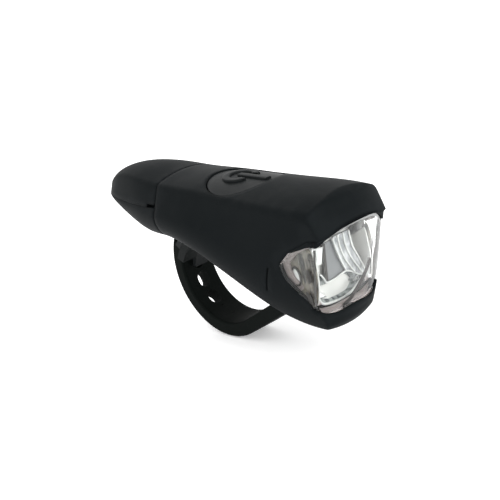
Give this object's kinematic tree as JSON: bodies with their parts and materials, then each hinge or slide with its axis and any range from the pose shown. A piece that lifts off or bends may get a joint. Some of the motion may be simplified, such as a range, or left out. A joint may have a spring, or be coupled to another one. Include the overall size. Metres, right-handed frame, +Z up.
{
  "type": "bicycle headlight",
  "caption": "Rechargeable bicycle headlight on a rubber handlebar strap, with a wrap-round clear lens, a round power button and a pull-off rear cap over its charging plug.",
  "frame": {"origin": "on the handlebar's axis, in the middle of the strap's width", "axes": "+X the way the beam points, +Y across to the left along the handlebar, +Z up"},
  "size_m": [0.1025, 0.0318, 0.0511],
  "materials": {
    "shell": "fine-grained dark grey",
    "rubber": "satin dark grey",
    "clear": "clear moulded plastic",
    "mirror": "bright metallised plastic",
    "white_plastic": "white",
    "saddle_plastic": "mid grey",
    "board": "green circuit board",
    "metal": "bare",
    "steel": "bright",
    "cell_wrap": "blue film",
    "contact": "gilt",
    "emitter": "yellow phosphor"
  },
  "bodies": {
    "light": {"main_housing": "shell", "tact_switch": "saddle_plastic", "main_board": "board", "battery_cell": "cell_wrap", "battery_tray": "white_plastic", "board_screws": "steel", "lens": "clear", "lens_gasket": "rubber", "reflector": "mirror", "led_emitter": "emitter", "led_board": "metal", "heat_sink": "metal", "led_screws": "steel", "rear_spigot": "saddle_plastic", "cap_seal": "rubber", "usb_plug": "steel", "usb_tongue": "white_plastic", "usb_contacts": "contact", "bar_cradle": "saddle_plastic", "cradle_screws": "steel", "saddle_pad": "rubber", "strap": "rubber", "strap_pin": "steel"},
    "button": {"power_button": "rubber", "switch_plunger": "white_plastic"},
    "rear_cap": {"rear_cap_upper": "shell", "rear_cap_lower": "shell"}
  },
  "joints": [
    {"name": "button_press", "type": "slide", "parent": "light", "child": "button", "axis": [0, 0, -1], "range_m": [0, 0.0005], "stiffness_N_per_m": 2000},
    {"name": "cap_pull", "type": "slide", "parent": "light", "child": "rear_cap", "axis": [-1, 0, 0], "range_m": [0, 0.04]}
  ]
}
